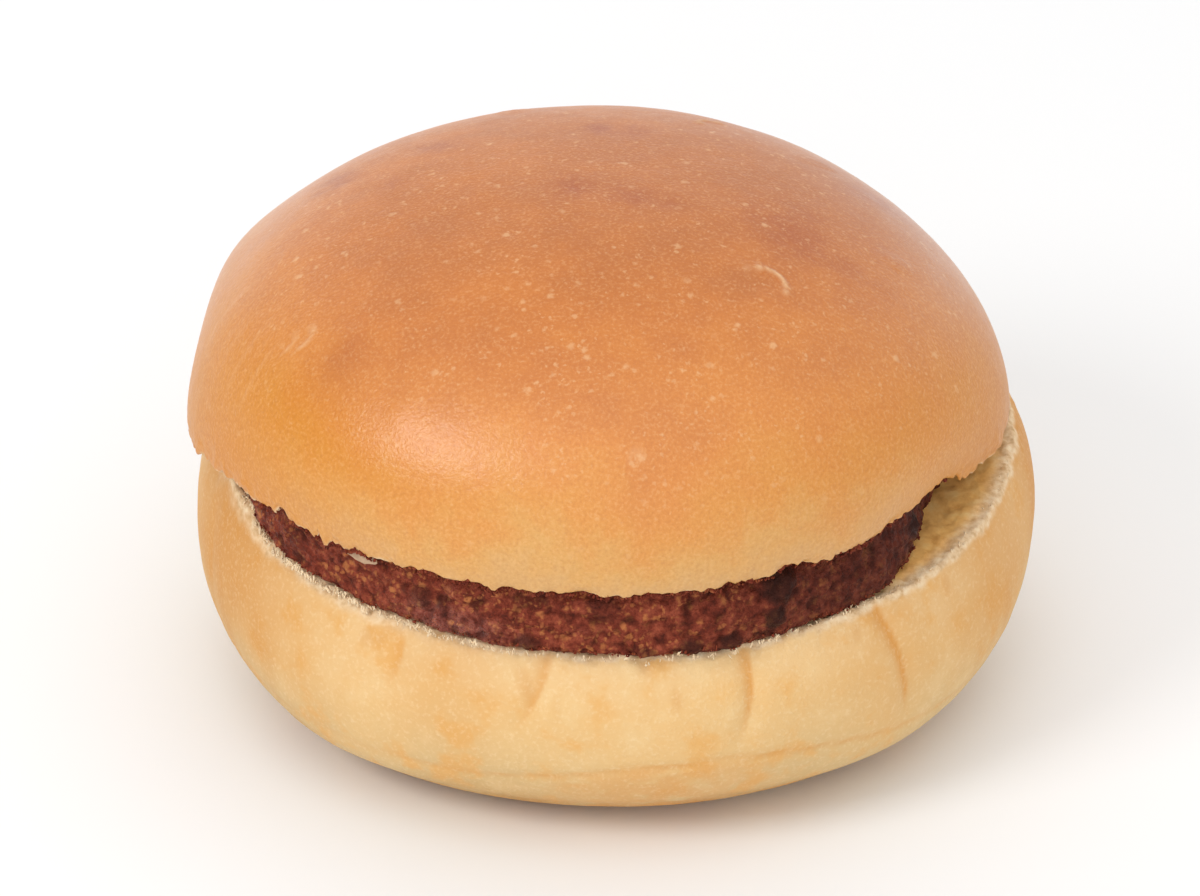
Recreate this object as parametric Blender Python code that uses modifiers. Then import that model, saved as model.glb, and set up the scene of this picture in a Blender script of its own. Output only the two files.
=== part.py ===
"""A plain hamburger: a soft round roll in two halves with one thin meat patty in its mouth.

Metres, +Z up. The origin is on the table under the middle of the lower half, and the open side of
the roll faces -Y. The two halves touch round the back, and part by a few degrees towards the front,
where the patty shows.
"""

import math

import bpy
import numpy as np

MM = 0.001

# Lower half of the roll
HEEL_RADIUS = 49.4 * MM
HEEL_FOOT_RADIUS = 31.0 * MM
HEEL_RIM_RADIUS = 46.8 * MM
HEEL_WIDEST_Z = 19.3 * MM
HEEL_RIM_TURN = math.radians(62)
HEEL_FULLNESS = 2.15
HEEL_THREE_SIDED = 0.008

# The knife cut: level at the back, dipping in the lower half and lifted in the upper half
CUT_HEIGHT = 32.2 * MM
CUT_ROLL = -0.015
HEEL_DIP = 0.093
CROWN_LIFT = 0.058
FOLD_Y = 11.5 * MM
FOLD_SOFTNESS = 14.0 * MM
SEAM_GAP = 0.4 * MM

# Upper half of the roll
CROWN_CENTRE = (-1.9 * MM, -1.7 * MM)
CROWN_RADIUS = 47.2 * MM
CROWN_RIM_RADIUS = 46.8 * MM
CROWN_WIDEST_Z = 3.6 * MM
CROWN_DOME = 27.0 * MM
CROWN_FULLNESS = 2.1

# Patty
PATTY_CENTRE = (-1.9 * MM, -4.2 * MM)
PATTY_RADIUS = 43.2 * MM
PATTY_THICKNESS = 9.2 * MM
PATTY_TOP_ROUND = 2.4 * MM
PATTY_FOOT_ROUND = 0.8 * MM
REST_GAP = 0.3 * MM
POCKET_CLEARANCE = 1.2 * MM
POCKET_FLARE = 0.12

# Steps round each turned piece
HEEL_STEPS = 120
CROWN_STEPS = 128
PATTY_STEPS = 116

CREASE_BOW = math.radians(0.9)

# Creases down the lower half: degrees round from +X at the top and at the foot, lowest and highest z,
# depth, half width
CREASES = (
    (239.2, 237.4, 21 * MM, 31 * MM, 0.25 * MM, 1.7 * MM),
    (260.9, 256.6, 20 * MM, 32 * MM, 0.35 * MM, 1.5 * MM),
    (288.6, 287.4, 18 * MM, 32 * MM, 0.45 * MM, 1.5 * MM),
    (309.3, 314.0, 13 * MM, 33 * MM, 0.50 * MM, 1.5 * MM),
    (18.0, 15.0, 10 * MM, 30 * MM, 0.35 * MM, 1.8 * MM),
    (73.0, 76.0, 12 * MM, 29 * MM, 0.45 * MM, 1.7 * MM),
    (132.0, 130.0, 13 * MM, 31 * MM, 0.40 * MM, 1.7 * MM),
    (196.0, 197.0, 14 * MM, 28 * MM, 0.20 * MM, 1.8 * MM),
)

# Swells and dents: degrees round from +X, height, how far out, half width, half height
HEEL_SWELLS = (
    (8.0, 25 * MM, 0.9 * MM, 14 * MM, 8 * MM),
    (228.0, 7 * MM, 0.8 * MM, 16 * MM, 5 * MM),
    (312.0, 8 * MM, 0.9 * MM, 14 * MM, 5 * MM),
    (95.0, 9 * MM, 0.6 * MM, 16 * MM, 5 * MM),
)
CROWN_SWELLS = (
    (156.0, 12 * MM, 1.2 * MM, 12 * MM, 5 * MM),
    (181.0, 0 * MM, 1.5 * MM, 15 * MM, 7 * MM),
    (0.0, 0 * MM, 1.6 * MM, 14 * MM, 9 * MM),
    (24.0, 20 * MM, -0.9 * MM, 17 * MM, 8 * MM),
    (60.0, 10 * MM, 0.5 * MM, 16 * MM, 7 * MM),
    (330.0, 0 * MM, -1.7 * MM, 13 * MM, 6 * MM),
)

# Places where the upper half's rim hangs below its cut: degrees round from +X, how far, half width
RIM_DROOPS = (
    (182.0, 3.0 * MM, 13 * MM),
    (356.0, 1.3 * MM, 12 * MM),
    (272.0, 0.9 * MM, 22 * MM),
)

# Where the patty's foot spreads or stops short: degrees round from +X, how far out, half width
PATTY_SPREADS = (
    (183.0, -2.6 * MM, 9 * MM),
    (212.0, 0.9 * MM, 9 * MM),
    (293.0, 1.2 * MM, 15 * MM),
    (317.0, 1.3 * MM, 7 * MM),
    (341.0, -2.4 * MM, 9 * MM),
)

# Charred lumps on the patty's side: degrees round from +X, how far they stand out, half width
CHAR_LUMPS = (
    (300.0, 1.2 * MM, 3.0 * MM),
    (333.0, 1.0 * MM, 2.6 * MM),
    (243.0, 0.7 * MM, 3.2 * MM),
)


def clear_scene():
    for obj in list(bpy.data.objects):
        bpy.data.objects.remove(obj, do_unlink=True)


def collection(name):
    made = bpy.data.collections.new(name)
    bpy.context.scene.collection.children.link(made)
    return made


def material(name, colour, roughness):
    made = bpy.data.materials.new(name)
    made.use_nodes = True
    shader = made.node_tree.nodes["Principled BSDF"]
    shader.inputs["Base Color"].default_value = (*colour, 1.0)
    shader.inputs["Roughness"].default_value = roughness
    shader.inputs["Metallic"].default_value = 0.0
    return made


def hump(distance, half_width):
    """1 at no distance, falling smoothly towards 0 beyond half_width."""
    return np.exp(-np.square(distance / half_width))


def smooth_step(low, high, value):
    share = np.clip((value - low) / (high - low), 0.0, 1.0)
    return share * share * (3 - 2 * share)


def angle_between(a, b):
    """The smaller angle from a to b, in radians, never negative."""
    return np.abs((a - b + math.pi) % (2 * math.pi) - math.pi)


def corner_slopes(i, j, k, seed):
    """A repeatable random slope along each axis, from -1 to 1, for each corner of a grid of cubes."""
    mixed = (i * 73856093) ^ (j * 19349663) ^ (k * 83492791) ^ (seed * 6542989)
    mixed = (mixed ^ (mixed >> 13)) * 1274126177
    mixed = (mixed ^ (mixed >> 16)) & 0xFFFFFF
    return [((mixed >> shift) & 255) / 127.5 - 1 for shift in (0, 8, 16)]


def uneven(x, y, z, wavelength, seed):
    """Smooth unevenness from about -1 to 1 that repeats over no shorter length than wavelength."""
    x, y, z = np.broadcast_arrays(x / wavelength, y / wavelength, z / wavelength)
    i, j, k = (np.floor(along).astype(np.int64) for along in (x, y, z))
    x, y, z = x - i, y - j, z - k
    ease_x, ease_y, ease_z = (t * t * t * (t * (6 * t - 15) + 10) for t in (x, y, z))
    total = 0.0
    for a in (0, 1):
        for b in (0, 1):
            for c in (0, 1):
                slope_x, slope_y, slope_z = corner_slopes(i + a, j + b, k + c, seed)
                share = np.abs(1 - a - ease_x) * np.abs(1 - b - ease_y) * np.abs(1 - c - ease_z)
                total += share * (slope_x * (x - a) + slope_y * (y - b) + slope_z * (z - c))
    return total


def fold_ramp(y):
    """How far y lies in front of the fold, easing to nothing behind it."""
    ahead = FOLD_Y - y
    return 0.5 * (ahead + np.hypot(ahead, FOLD_SOFTNESS))


def heel_cut(x, y):
    """Height of the lower half's cut face."""
    waves = 0.35 * MM * uneven(x, y, 0, 17 * MM, 3)
    return CUT_HEIGHT + CUT_ROLL * x - HEEL_DIP * fold_ramp(y) + waves


def crown_cut(x, y):
    """Height of the upper half's cut face, a seam gap above the lower one at the back."""
    waves = 0.35 * MM * uneven(x, y, 0, 17 * MM, 3)
    return CUT_HEIGHT + SEAM_GAP + CUT_ROLL * x + CROWN_LIFT * fold_ramp(y) + waves


def swell(swells, angle, z, radius):
    """How far the swells stand out, less the dents, at this place on a side of about this radius."""
    out = 0.0
    for degrees, height, stand_out, half_width, half_height in swells:
        across = radius * angle_between(angle, math.radians(degrees))
        out += stand_out * hump(across, half_width) * hump(z - height, half_height)
    return out


def turned(name, profile, steps, group):
    """A closed solid from an outer profile of (radius, height) points that runs from top to bottom."""
    outline = bpy.data.meshes.new(name)
    points = [(radius, 0.0, height) for radius, height in profile]
    outline.from_pydata(points, [(i, i + 1) for i in range(len(points) - 1)], [])
    obj = bpy.data.objects.new(name, outline)
    group.objects.link(obj)
    screw = obj.modifiers.new("turn", "SCREW")
    screw.steps = steps
    screw.render_steps = steps
    screw.use_merge_vertices = True
    screw.merge_threshold = 0.01 * MM
    apply_modifiers(obj)
    return obj


def apply_modifiers(obj):
    """Makes the object's evaluated mesh its own mesh."""
    bpy.context.view_layer.update()
    evaluated = obj.evaluated_get(bpy.context.evaluated_depsgraph_get())
    old = obj.data
    obj.data = bpy.data.meshes.new_from_object(evaluated)
    obj.modifiers.clear()
    bpy.data.meshes.remove(old)
    obj.data.name = obj.name


def reshape(obj, move):
    """Moves all the vertices to where move(x, y, z) says."""
    places = np.empty(3 * len(obj.data.vertices), np.float32)
    obj.data.vertices.foreach_get("co", places)
    moved = np.stack(move(*places.reshape(-1, 3).astype(float).T), axis=1)
    obj.data.vertices.foreach_set("co", moved.astype(np.float32).ravel())
    obj.data.update()


def finish(obj, look):
    obj.data.materials.clear()
    obj.data.materials.append(look)
    obj.data.shade_smooth()
    obj.data.set_sharp_from_angle(angle=math.radians(50))


def heel_profile():
    """The lower half before it is bent: cut face, rounded rim, bulging side, foot and flat base."""
    face = [(HEEL_RIM_RADIUS * share, CUT_HEIGHT) for share in (0.0, 0.35, 0.7, 0.92)]
    turn_in = (HEEL_RADIUS - HEEL_RIM_RADIUS) / (1 - math.cos(HEEL_RIM_TURN))
    rise = (CUT_HEIGHT - HEEL_WIDEST_Z) / math.sin(HEEL_RIM_TURN)
    upper = []
    for i in range(5):
        turn = HEEL_RIM_TURN * (1 - i / 5)
        upper.append((HEEL_RADIUS - turn_in * (1 - math.cos(turn)), HEEL_WIDEST_Z + rise * math.sin(turn)))
    lower = []
    for i in range(9):
        turn = math.radians(90) * (1 - i / 8)
        out = math.sin(turn) ** (2 / HEEL_FULLNESS)
        up = 1 - abs(math.cos(turn)) ** (2 / HEEL_FULLNESS)
        lower.append((HEEL_FOOT_RADIUS + (HEEL_RADIUS - HEEL_FOOT_RADIUS) * out, HEEL_WIDEST_Z * up))
    base = [(0.0, 0.0)]
    return face + upper + lower + base


def crease_across(angle, z, top, foot, low, high):
    """How far round the side this place is from the crease, less than 0 on its left as seen from outside."""
    up = np.clip((z - low) / (high - low), 0.0, 1.0)
    middle = np.radians(foot + (top - foot) * up) + CREASE_BOW * np.sin(math.pi * up)
    return HEEL_RADIUS * ((angle - middle + math.pi) % (2 * math.pi) - math.pi)


def crease_depth(angle, z):
    """How deep the creases are at this place on the lower half's side."""
    depth = 0.0
    for top, foot, low, high, deepest, half_width in CREASES:
        along = smooth_step(low - 4 * MM, low + 4 * MM, z) * (1 - smooth_step(high, high + 3 * MM, z))
        depth += deepest * hump(crease_across(angle, z, top, foot, low, high), half_width) * along
    return depth


def heel_place(x, y, z):
    """Bends the turned lower half to its cut, and gives its side bulges, creases and a foot line."""
    radius = np.hypot(x, y)
    angle = np.arctan2(y, x)
    lift = np.maximum(z, 0) / CUT_HEIGHT
    side = smooth_step(0.62 * HEEL_RADIUS, 0.9 * HEEL_RADIUS, radius)
    off_round = -HEEL_THREE_SIDED * np.sin(3 * angle) * radius
    bulges = (0.4 * MM * uneven(x, y, 1.3 * z, 21 * MM, 5) + swell(HEEL_SWELLS, angle, z, radius)) * side
    foot_line = 0.55 * MM * hump(z - 4.6 * MM, 1.3 * MM) * side
    ragged = 0.25 * MM * uneven(x, y, z, 4 * MM, 8) * smooth_step(0.8, 1.0, lift) * side
    out = off_round + bulges + ragged - foot_line - crease_depth(angle, z) * side
    grown = 1 + out / np.maximum(radius, 0.1 * MM)
    x, y = x * grown, y * grown
    rim_waves = 0.3 * MM * uneven(x, y, 0, 5 * MM, 9) * smooth_step(0.85, 1.0, lift) * side
    return x, y, z + (heel_cut(x, y) - CUT_HEIGHT + rim_waves) * lift**1.5


def crown_profile():
    """The upper half before it is bent: dome, side that turns in a little at the rim, cut face."""
    dome = []
    for i in range(14):
        turn = math.radians(90) * (1 - i / 14)
        out = abs(math.cos(turn)) ** (2 / CROWN_FULLNESS)
        up = math.sin(turn) ** (2 / CROWN_FULLNESS)
        dome.append((CROWN_RADIUS * out, CROWN_WIDEST_Z + CROWN_DOME * up))
    dome[0] = (0.0, dome[0][1])
    side = []
    for i in range(4):
        drop = i / 3
        radius = CROWN_RADIUS - (CROWN_RADIUS - CROWN_RIM_RADIUS) * drop**2
        side.append((radius, CROWN_WIDEST_Z * (1 - drop)))
    face = [(CROWN_RIM_RADIUS * share, 0.0) for share in (0.97, 0.8, 0.4, 0.0)]
    return dome + side + face


def crown_place(x, y, z):
    """Bends the turned upper half to its cut, sets it in place and makes its skin and rim uneven."""
    radius = np.hypot(x, y)
    angle = np.arctan2(y, x)
    at_rim = 1 - smooth_step(0.5 * MM, 4 * MM, z)
    edge = smooth_step(0.9 * CROWN_RIM_RADIUS, CROWN_RIM_RADIUS, radius)
    on_dome = smooth_step(1 * MM, 6 * MM, z)
    skin = 0.25 * MM * uneven(x, y, z, 24 * MM, 12) * on_dome
    ragged = 0.45 * MM * uneven(x, y, z, 4.5 * MM, 14) + 0.3 * MM * uneven(x, y, z, 2.6 * MM, 15)
    ragged *= at_rim * edge
    swells = swell(CROWN_SWELLS, angle, z, radius) * np.maximum(on_dome, edge)
    grown = 1 + (ragged + (skin + swells) * edge_of_dome(radius)) / np.maximum(radius, 0.1 * MM)
    x = CROWN_CENTRE[0] + x * grown
    y = CROWN_CENTRE[1] + y * grown
    rim_waves = 0.5 * MM * uneven(x, y, 0, 6 * MM, 17) + 0.3 * MM * uneven(x, y, 0, 3 * MM, 18)
    rim_waves *= at_rim * edge
    droop = rim_droop(angle) * smooth_step(0.93 * CROWN_RIM_RADIUS, CROWN_RIM_RADIUS, radius) * fade_up(z)
    return x, y, z + crown_cut(x, y) + rim_waves - droop + skin * (1 - edge_of_dome(radius))


def rim_droop(angle):
    """How far the rim hangs below the cut in this direction."""
    drop = 0.0
    for degrees, deepest, half_width in RIM_DROOPS:
        drop += deepest * hump(CROWN_RADIUS * angle_between(angle, math.radians(degrees)), half_width)
    return drop


def fade_up(z):
    """1 at the upper half's rim, easing to nothing half way up its side."""
    return 1 - smooth_step(0, 14 * MM, z)


def edge_of_dome(radius):
    """0 on the top of the dome, where skin moves up and down, to 1 at its side."""
    return smooth_step(0.3 * CROWN_RADIUS, 0.95 * CROWN_RADIUS, radius)


def patty_profile():
    """A thick disc, rounder at its upper edge than at its foot, with its underside at height 0."""
    top = [(PATTY_RADIUS * share, PATTY_THICKNESS) for share in (0.0, 0.45, 0.85)]
    edge = []
    for i in range(4):
        turn = math.radians(30 * i)
        in_from_side = PATTY_TOP_ROUND * (1 - math.sin(turn))
        edge.append((PATTY_RADIUS - in_from_side, PATTY_THICKNESS - PATTY_TOP_ROUND * (1 - math.cos(turn))))
    side = [(PATTY_RADIUS, PATTY_THICKNESS * share) for share in (0.52, 0.3)]
    foot = [(PATTY_RADIUS, PATTY_FOOT_ROUND), (PATTY_RADIUS - PATTY_FOOT_ROUND, 0.0)]
    under = [(PATTY_RADIUS * share, 0.0) for share in (0.85, 0.45, 0.0)]
    return top + edge + side + foot + under


def patty_place(x, y, z):
    """Sets the patty on the lower half's cut face, with a coarse, lumpy side."""
    radius = np.hypot(x, y)
    angle = np.arctan2(y, x)
    side = smooth_step(0.85 * PATTY_RADIUS, PATTY_RADIUS, radius)
    middle = hump(z - 0.5 * PATTY_THICKNESS, 0.45 * PATTY_THICKNESS)
    coarse = 0.45 * MM * uneven(x, y, z, 7 * MM, 21) + 0.35 * MM * uneven(x, y, z, 3.5 * MM, 22)
    lumps = 0.0
    for degrees, stand_out, half_width in CHAR_LUMPS:
        lumps += stand_out * hump(PATTY_RADIUS * angle_between(angle, math.radians(degrees)), half_width)
    low = 1 - smooth_step(0.4 * PATTY_THICKNESS, 0.95 * PATTY_THICKNESS, z)
    spread = 0.0
    for degrees, out, half_width in PATTY_SPREADS:
        reach = low if out > 0 else 1.0
        spread += out * reach * hump(PATTY_RADIUS * angle_between(angle, math.radians(degrees)), half_width)
    grown = 1 + side * (coarse + lumps * middle + spread) / np.maximum(radius, 0.1 * MM)
    x = PATTY_CENTRE[0] + x * grown
    y = PATTY_CENTRE[1] + y * grown
    return x, y, z + heel_cut(x, y) + REST_GAP


def pocket_place(x, y, z):
    """Sets the cutter for the upper half's pocket where the patty is, following the same face."""
    x = PATTY_CENTRE[0] + x
    y = PATTY_CENTRE[1] + y
    return x, y, z + heel_cut(x, y) + REST_GAP


def make_heel(group):
    heel = turned("bun_heel", heel_profile(), HEEL_STEPS, group)
    reshape(heel, heel_place)
    finish(heel, material("pale_crust", (0.78, 0.52, 0.24), 0.55))
    return heel


def make_patty(group):
    patty = turned("patty", patty_profile(), PATTY_STEPS, group)
    reshape(patty, patty_place)
    finish(patty, material("grilled_meat", (0.13, 0.035, 0.018), 0.45))
    return patty


def make_pocket(group):
    """The hollow that the patty presses into the soft underside of the upper half."""
    top = PATTY_THICKNESS + REST_GAP
    inner = PATTY_RADIUS + POCKET_CLEARANCE
    outer = inner + POCKET_FLARE * top
    ceiling = [(share * PATTY_RADIUS, top) for share in (0.0, 0.45, 0.85)]
    wall = [(inner - 1.2 * MM, top), (inner, top - 1.0 * MM), (outer, 0.0)]
    floor = [(share * PATTY_RADIUS, 0.0) for share in (0.85, 0.45, 0.0)]
    profile = ceiling + wall + floor
    pocket = turned("pocket_cutter", profile, PATTY_STEPS, group)
    reshape(pocket, pocket_place)
    pocket.hide_render = True
    pocket.display_type = "WIRE"
    return pocket


def make_crown(group, pocket):
    crown = turned("bun_crown", crown_profile(), CROWN_STEPS, group)
    reshape(crown, crown_place)
    finish(crown, material("golden_crust", (0.72, 0.31, 0.10), 0.45))
    cut = crown.modifiers.new("patty pocket", "BOOLEAN")
    cut.operation = "DIFFERENCE"
    cut.object = pocket
    return crown


def main():
    clear_scene()
    burger = collection("hamburger")
    cutters = collection("cutters")
    make_heel(burger)
    make_patty(burger)
    make_crown(burger, make_pocket(cutters))


main()
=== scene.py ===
"""A plain hamburger dressed for its picture: soft crusts, torn crumb edges and a grilled patty.

Every piece is modelled in place, in metres, round the same centres as the solids that it stands for.
"""

import math

import bpy
import numpy as np
from mathutils import Euler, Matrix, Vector


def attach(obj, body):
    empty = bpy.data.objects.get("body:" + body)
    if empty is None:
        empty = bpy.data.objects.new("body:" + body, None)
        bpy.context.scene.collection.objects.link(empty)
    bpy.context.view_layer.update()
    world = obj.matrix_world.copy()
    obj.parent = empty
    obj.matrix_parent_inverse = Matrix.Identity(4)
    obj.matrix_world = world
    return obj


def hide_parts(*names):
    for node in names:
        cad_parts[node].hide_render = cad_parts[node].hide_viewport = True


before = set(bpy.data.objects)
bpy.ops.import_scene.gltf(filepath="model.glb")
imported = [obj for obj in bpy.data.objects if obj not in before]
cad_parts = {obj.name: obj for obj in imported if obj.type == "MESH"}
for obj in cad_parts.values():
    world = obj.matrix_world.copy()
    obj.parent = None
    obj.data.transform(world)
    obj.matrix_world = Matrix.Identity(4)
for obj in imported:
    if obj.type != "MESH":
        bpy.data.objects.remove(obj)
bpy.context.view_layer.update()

MM = 0.001

# Lower half of the roll
HEEL_RADIUS = 49.4 * MM
HEEL_FOOT_RADIUS = 31.0 * MM
HEEL_RIM_RADIUS = 46.8 * MM
HEEL_WIDEST_Z = 19.3 * MM
HEEL_RIM_TURN = math.radians(62)
HEEL_FULLNESS = 2.15
HEEL_THREE_SIDED = 0.008

# The knife cut through the roll, and how the two faces part towards the front
CUT_HEIGHT = 32.2 * MM
CUT_ROLL = -0.015
HEEL_DIP = 0.093
CROWN_LIFT = 0.058
FOLD_Y = 11.5 * MM
FOLD_SOFTNESS = 14.0 * MM
SEAM_GAP = 0.4 * MM

# Upper half of the roll
CROWN_CENTRE = (-1.9 * MM, -1.7 * MM)
CROWN_RADIUS = 47.2 * MM
CROWN_RIM_RADIUS = 46.8 * MM
CROWN_WIDEST_Z = 3.6 * MM
CROWN_DOME = 27.0 * MM
CROWN_FULLNESS = 2.1

# Patty
PATTY_CENTRE = (-1.9 * MM, -4.2 * MM)
PATTY_RADIUS = 43.2 * MM
PATTY_THICKNESS = 9.2 * MM
PATTY_TOP_ROUND = 2.4 * MM
PATTY_FOOT_ROUND = 0.8 * MM
REST_GAP = 0.3 * MM
POCKET_CLEARANCE = 1.2 * MM

# Points round each turned piece, and how many times each is then made finer
ROLL_SIDES = 180
PATTY_SIDES = 212
FINER_LEVELS = 2

# Radius of the opening that is left in the middle of each end until the piece is closed
POLE_RADIUS = 0.3 * MM

# Nearer than this to the middle, places no longer move in or out by their share of the radius
LEAST_RADIUS = 0.1 * MM

CREASE_BOW = math.radians(0.9)

# Creases down the lower half: degrees round from +X at the top and at the foot, lowest and highest z,
# depth, half width
CREASES = (
    (239.2, 237.4, 21 * MM, 31 * MM, 0.25 * MM, 1.7 * MM),
    (260.9, 256.6, 20 * MM, 32 * MM, 0.35 * MM, 1.5 * MM),
    (288.6, 287.4, 18 * MM, 32 * MM, 0.45 * MM, 1.5 * MM),
    (309.3, 314.0, 13 * MM, 33 * MM, 0.50 * MM, 1.5 * MM),
    (18.0, 15.0, 10 * MM, 30 * MM, 0.35 * MM, 1.8 * MM),
    (73.0, 76.0, 12 * MM, 29 * MM, 0.45 * MM, 1.7 * MM),
    (132.0, 130.0, 13 * MM, 31 * MM, 0.40 * MM, 1.7 * MM),
    (196.0, 197.0, 14 * MM, 28 * MM, 0.20 * MM, 1.8 * MM),
)

# Swells and dents: degrees round from +X, height, how far out, half width, half height
HEEL_SWELLS = (
    (8.0, 25 * MM, 0.9 * MM, 14 * MM, 8 * MM),
    (228.0, 7 * MM, 0.8 * MM, 16 * MM, 5 * MM),
    (312.0, 8 * MM, 0.9 * MM, 14 * MM, 5 * MM),
    (95.0, 9 * MM, 0.6 * MM, 16 * MM, 5 * MM),
)
CROWN_SWELLS = (
    (156.0, 12 * MM, 1.2 * MM, 12 * MM, 5 * MM),
    (181.0, 0 * MM, 1.5 * MM, 15 * MM, 7 * MM),
    (0.0, 0 * MM, 1.6 * MM, 14 * MM, 9 * MM),
    (24.0, 20 * MM, -0.9 * MM, 17 * MM, 8 * MM),
    (60.0, 10 * MM, 0.5 * MM, 16 * MM, 7 * MM),
    (330.0, 0 * MM, -1.7 * MM, 13 * MM, 6 * MM),
)

# Places where the upper half's rim hangs below its cut: degrees round from +X, how far, half width
RIM_DROOPS = (
    (182.0, 3.0 * MM, 13 * MM),
    (356.0, 1.3 * MM, 12 * MM),
    (272.0, 0.9 * MM, 22 * MM),
)

# Where the patty's foot spreads or stops short: degrees round from +X, how far out, half width
PATTY_SPREADS = (
    (183.0, -2.6 * MM, 9 * MM),
    (212.0, 0.9 * MM, 9 * MM),
    (293.0, 1.2 * MM, 15 * MM),
    (317.0, 1.3 * MM, 7 * MM),
    (341.0, -2.4 * MM, 9 * MM),
)

# The crease low on the front, where the side folds under: its lowest height, the rise of its arch, the
# arch's middle and half width, and about how far out it runs
FOLD_LOW = 10.3 * MM
FOLD_ARCH = 4.5 * MM
FOLD_MIDDLE = math.radians(284)
FOLD_WIDTH = math.radians(25)
FOLD_RADIUS = 40 * MM

# Where each half of the roll is baked to gold, deepened on its left as painted shade: degrees round from +X,
# half width in degrees, how much
HEEL_GOLDEN_AND_SHADED_SIDES = (
    (202.0, 21.0, 1.0),
    (246.0, 9.0, 0.35),
    (312.0, 10.0, 0.35),
    (337.0, 17.0, 0.65),
    (3.0, 18.0, 1.0),
    (85.0, 45.0, 0.7),
)
CROWN_GOLDEN_AND_SHADED_SIDES = (
    (202.0, 34.0, 1.0),
    (345.0, 34.0, 0.85),
    (90.0, 60.0, 0.6),
)

# Round blisters in the top crust: x, y, half width, height
BLISTERS = (
    (-30.5 * MM, -25.0 * MM, 1.0 * MM, 0.16 * MM),
    (24.0 * MM, 17.0 * MM, 1.6 * MM, 0.24 * MM),
    (-12.0 * MM, 27.0 * MM, 1.4 * MM, 0.22 * MM),
    (33.0 * MM, -6.0 * MM, 1.1 * MM, 0.18 * MM),
    (-24.0 * MM, -36.5 * MM, 1.1 * MM, 0.12 * MM),
    (9.0 * MM, -37.0 * MM, 1.0 * MM, 0.12 * MM),
)

# Burst blisters, of which part of the raised edge is left: x, y, radius, width, height, direction in degrees
BURST_BLISTERS = (
    (17.2 * MM, -19.9 * MM, 2.5 * MM, 0.26 * MM, 0.26 * MM, 66.0),
    (-35.9 * MM, -21.6 * MM, 1.3 * MM, 0.24 * MM, 0.18 * MM, 330.0),
    (-37.6 * MM, -20.9 * MM, 1.0 * MM, 0.22 * MM, 0.14 * MM, 330.0),
    (2.6 * MM, -44.6 * MM, 0.9 * MM, 0.30 * MM, 0.07 * MM, 100.0),
    (12.0 * MM, 22.0 * MM, 2.0 * MM, 0.26 * MM, 0.22 * MM, 140.0),
)

# Rusty, slightly sunken places in the top crust: x, y, half width, how dark
RUSTY_PLACES = (
    (20.4 * MM, -8.8 * MM, 5.0 * MM, 0.75),
    (26.5 * MM, -12.5 * MM, 3.0 * MM, 0.50),
    (-4.6 * MM, -3.2 * MM, 2.3 * MM, 0.80),
    (1.8 * MM, -5.4 * MM, 2.6 * MM, 0.70),
    (6.5 * MM, -6.6 * MM, 2.0 * MM, 0.45),
    (-1.9 * MM, 14.9 * MM, 1.7 * MM, 0.90),
    (2.0 * MM, 13.8 * MM, 2.4 * MM, 0.60),
    (-32.3 * MM, 11.6 * MM, 3.0 * MM, 0.70),
    (-20.5 * MM, 13.4 * MM, 2.6 * MM, 0.60),
    (-25.5 * MM, 3.6 * MM, 1.8 * MM, 0.40),
    (-31.0 * MM, -27.5 * MM, 2.6 * MM, 0.35),
    (2.9 * MM, -45.9 * MM, 1.8 * MM, 0.15),
    (15.0 * MM, 30.0 * MM, 3.5 * MM, 0.70),
    (31.0 * MM, 12.0 * MM, 3.0 * MM, 0.60),
    (-8.0 * MM, 33.0 * MM, 2.5 * MM, 0.60),
)

# Pale streaks of stretched skin on the dome's left: their middle and half width
STREAKS_MIDDLE = math.radians(196)
STREAKS_WIDTH = 0.33

# The right of the dome: browner crust, and painted shade on this side away from the lamp
BROWN_AND_SHADED_PLACE = (27 * MM, 8 * MM)
BROWN_AND_SHADED_HALF_WIDTH = 22 * MM

# Charred lumps that stand out of the patty's side: degrees from +X, height, how far out, half width
CHAR_LUMPS = (
    (298.2, 7.2 * MM, 1.7 * MM, 2.1 * MM),
    (297.0, 3.6 * MM, 0.8 * MM, 1.3 * MM),
    (328.0, 4.4 * MM, 1.2 * MM, 1.5 * MM),
    (242.0, 4.6 * MM, 0.4 * MM, 1.2 * MM),
    (277.0, 0.8 * MM, 0.4 * MM, 1.1 * MM),
    (284.0, 0.9 * MM, 0.6 * MM, 1.5 * MM),
    (290.0, 1.0 * MM, 0.6 * MM, 1.4 * MM),
    (259.0, 1.2 * MM, 0.5 * MM, 1.2 * MM),
)

# A dry flake on the upper half's rim: degrees round from +X, how far out and how high its middle is, and
# half its width, thickness and height
FLAKE_DEGREES = 233.9
FLAKE_OUT = 46.0 * MM
FLAKE_HEIGHT = 35.6 * MM
FLAKE_HALF_SIZE = (2.3 * MM, 0.22 * MM, 0.95 * MM)

# Notches in the upper half's rim, the first over the largest lump: degrees from +X, how high, half width
RIM_NOTCHES = (
    (298.4, 1.9 * MM, 1.9 * MM),
    (268.0, 0.7 * MM, 0.9 * MM),
    (322.0, 0.6 * MM, 1.6 * MM),
    (226.0, 0.8 * MM, 1.1 * MM),
    (219.0, 0.7 * MM, 0.8 * MM),
)

# Where the pale crumb shows widest along the lower half's rim: its middle and half width
LEFT_TEAR = math.radians(222)
LEFT_TEAR_WIDTH = 0.40

# Where torn crumb stands up from the lower half's rim: degrees round from +X, how high, half width
RIM_TEARS = (
    (199.0, 1.6 * MM, 5.0 * MM),
    (206.0, 0.7 * MM, 1.5 * MM),
    (271.5, 0.5 * MM, 1.0 * MM),
    (276.0, 0.3 * MM, 0.7 * MM),
    (304.0, 0.55 * MM, 9.0 * MM),
)

# Shreds of crumb along the lower half's rim: how many are tried, between which directions in degrees, and
# the direction where most of them are kept, with its half width
CRUMB_TRIES = 2600
CRUMB_SWEEP = (190, 352)
CRUMB_MOST = 220
CRUMB_MOST_WIDTH = 22.0

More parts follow.
